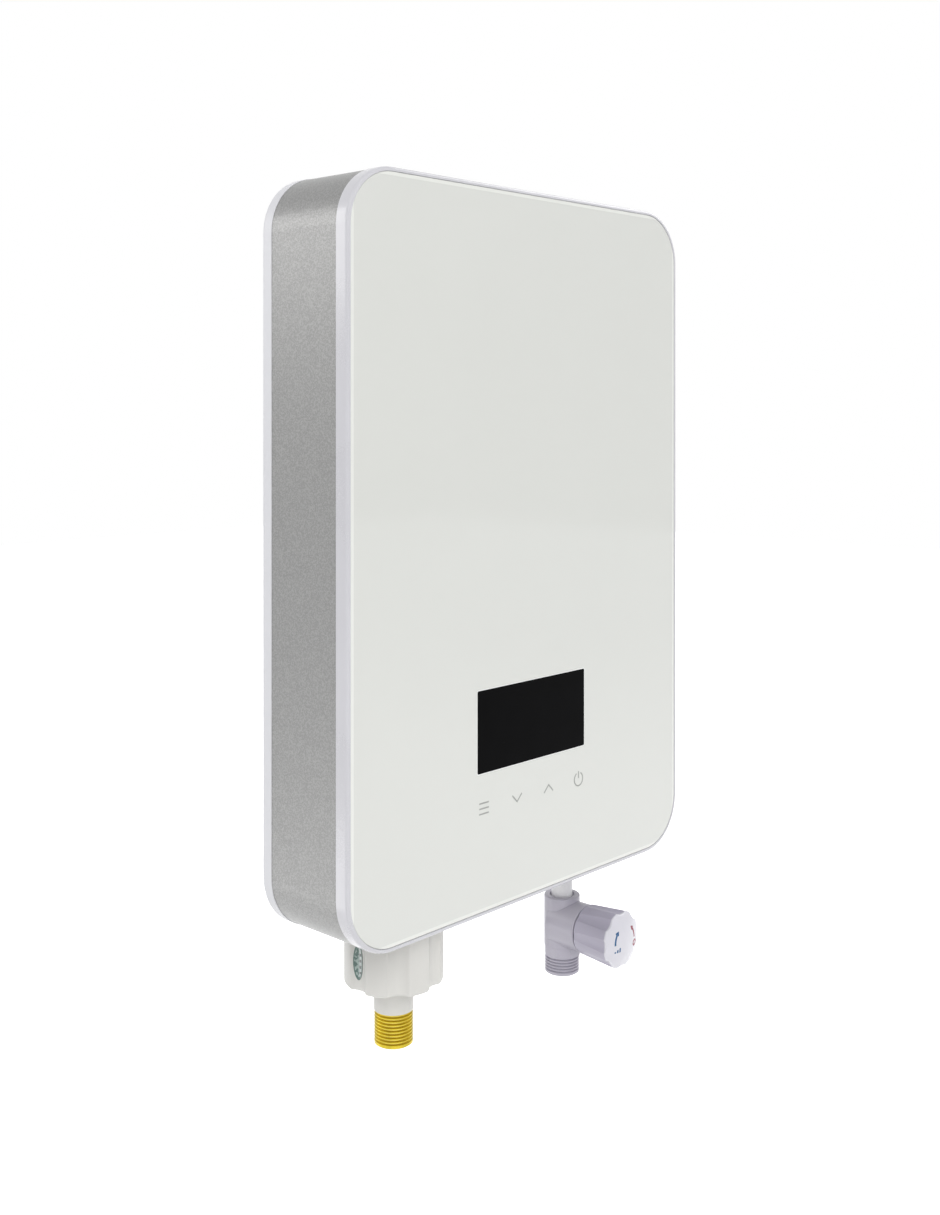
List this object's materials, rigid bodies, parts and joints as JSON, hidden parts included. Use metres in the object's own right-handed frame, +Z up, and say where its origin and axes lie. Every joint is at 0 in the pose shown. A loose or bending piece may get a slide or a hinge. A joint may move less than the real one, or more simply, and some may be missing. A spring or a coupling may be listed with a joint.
{
  "type": "tankless water heater",
  "caption": "Flat wall-hung electric instantaneous water heater: glass front with display and touch keys, threaded outlet nipple and flow valve with a turning knob below.",
  "frame": {"origin": "centre of the casing's back face, on the wall plane", "axes": "+X right seen from the room, -Y into the room, +Y to the wall, +Z up"},
  "size_m": [0.28, 0.0772, 0.4687],
  "materials": {
    "white_abs": "semi-gloss moulded ABS",
    "silver_lacquer": "fine metallic lacquer, satin",
    "painted_glass": "tempered glass, painted white on its back",
    "smoked_acrylic": "smoked, gloss",
    "adhesive_tape": "foam tape",
    "zinc_steel": "zinc plated",
    "stainless": "drawn stainless",
    "black_nylon": "glass-filled nylon",
    "white_nylon": "moulded nylon",
    "lilac_nylon": "moulded acetal, semi-gloss",
    "knob_plastic": "gloss ABS",
    "brass": "turned, bright",
    "ceramic": "lapped alumina",
    "circuit_board": "solder-masked laminate",
    "component_black": "moulded epoxy",
    "relay_blue": "moulded case",
    "aluminium": "extruded",
    "seal_rubber": "moulded rubber",
    "seal_silicone": "moulded silicone",
    "label_film": "printed film",
    "reset_red": "moulded",
    "wire_sheath": "silicone sheath",
    "element_sheath": "annealed steel sheath"
  },
  "bodies": {
    "casing": {"rear_cover": "white_abs", "wall_bracket": "zinc_steel", "side_band": "silver_lacquer", "front_frame": "white_abs", "glass_panel": "painted_glass", "glass_tape": "adhesive_tape", "case_screws": "zinc_steel", "display_lens": "smoked_acrylic", "led_display": "component_black", "control_board": "circuit_board", "key_springs": "stainless", "bottom_header": "black_nylon", "top_header": "black_nylon", "tank_tubes": "stainless", "heating_elements": "element_sheath", "element_terminals": "brass", "thermal_cutouts": "component_black", "temperature_probes": "brass", "inner_screws": "zinc_steel", "cold_pipe": "white_nylon", "hot_pipe": "white_nylon", "inlet_pipe": "white_nylon", "pipe_clips": "black_nylon", "water_seals": "seal_silicone", "flow_sensor_body": "black_nylon", "flow_sensor_cap": "black_nylon", "turbine_shaft": "stainless", "hall_sensor": "component_black", "insulating_housing": "white_nylon", "insulating_core": "white_nylon", "outlet_locknut": "white_nylon", "outlet_collar": "white_nylon", "brass_nipple": "brass", "check_label": "label_film", "valve_body": "lilac_nylon", "inlet_filter": "stainless", "valve_cartridge": "brass", "ceramic_disc_fixed": "ceramic", "power_board": "circuit_board", "heat_sink": "aluminium", "triacs": "component_black", "power_relays": "relay_blue", "board_parts": "component_black", "terminal_block": "black_nylon", "terminal_screws": "zinc_steel", "earth_stud": "brass", "gland_body": "white_nylon", "gland_locknut": "white_nylon", "gland_cap": "white_nylon", "gland_bush": "seal_rubber", "inner_wires": "wire_sheath"},
    "flow_knob": {"valve_knob": "knob_plastic", "knob_screw": "zinc_steel", "knob_face": "knob_plastic", "valve_spindle": "brass", "ceramic_disc_turning": "ceramic"},
    "turbine": {"flow_turbine": "white_nylon"},
    "left_reset": {"reset_button_left": "reset_red"},
    "right_reset": {"reset_button_right": "reset_red"}
  },
  "joints": [
    {"name": "knob_turn", "type": "hinge", "parent": "casing", "child": "flow_knob", "pos_m": [0.072, -0.0604, -0.24], "axis": [0, -1, 0], "range_deg": [0, 180]},
    {"name": "turbine_spin", "type": "hinge", "parent": "casing", "child": "turbine", "pos_m": [0.072, -0.028, -0.1302], "axis": [0, 0, 1], "continuous": true},
    {"name": "left_reset_press", "type": "slide", "parent": "casing", "child": "left_reset", "axis": [0, 0, -1], "range_m": [0, 0.0012], "stiffness_N_per_m": 400, "springref_m": -0.002},
    {"name": "right_reset_press", "type": "slide", "parent": "casing", "child": "right_reset", "axis": [0, 0, -1], "range_m": [0, 0.0012], "stiffness_N_per_m": 400, "springref_m": -0.002}
  ]
}
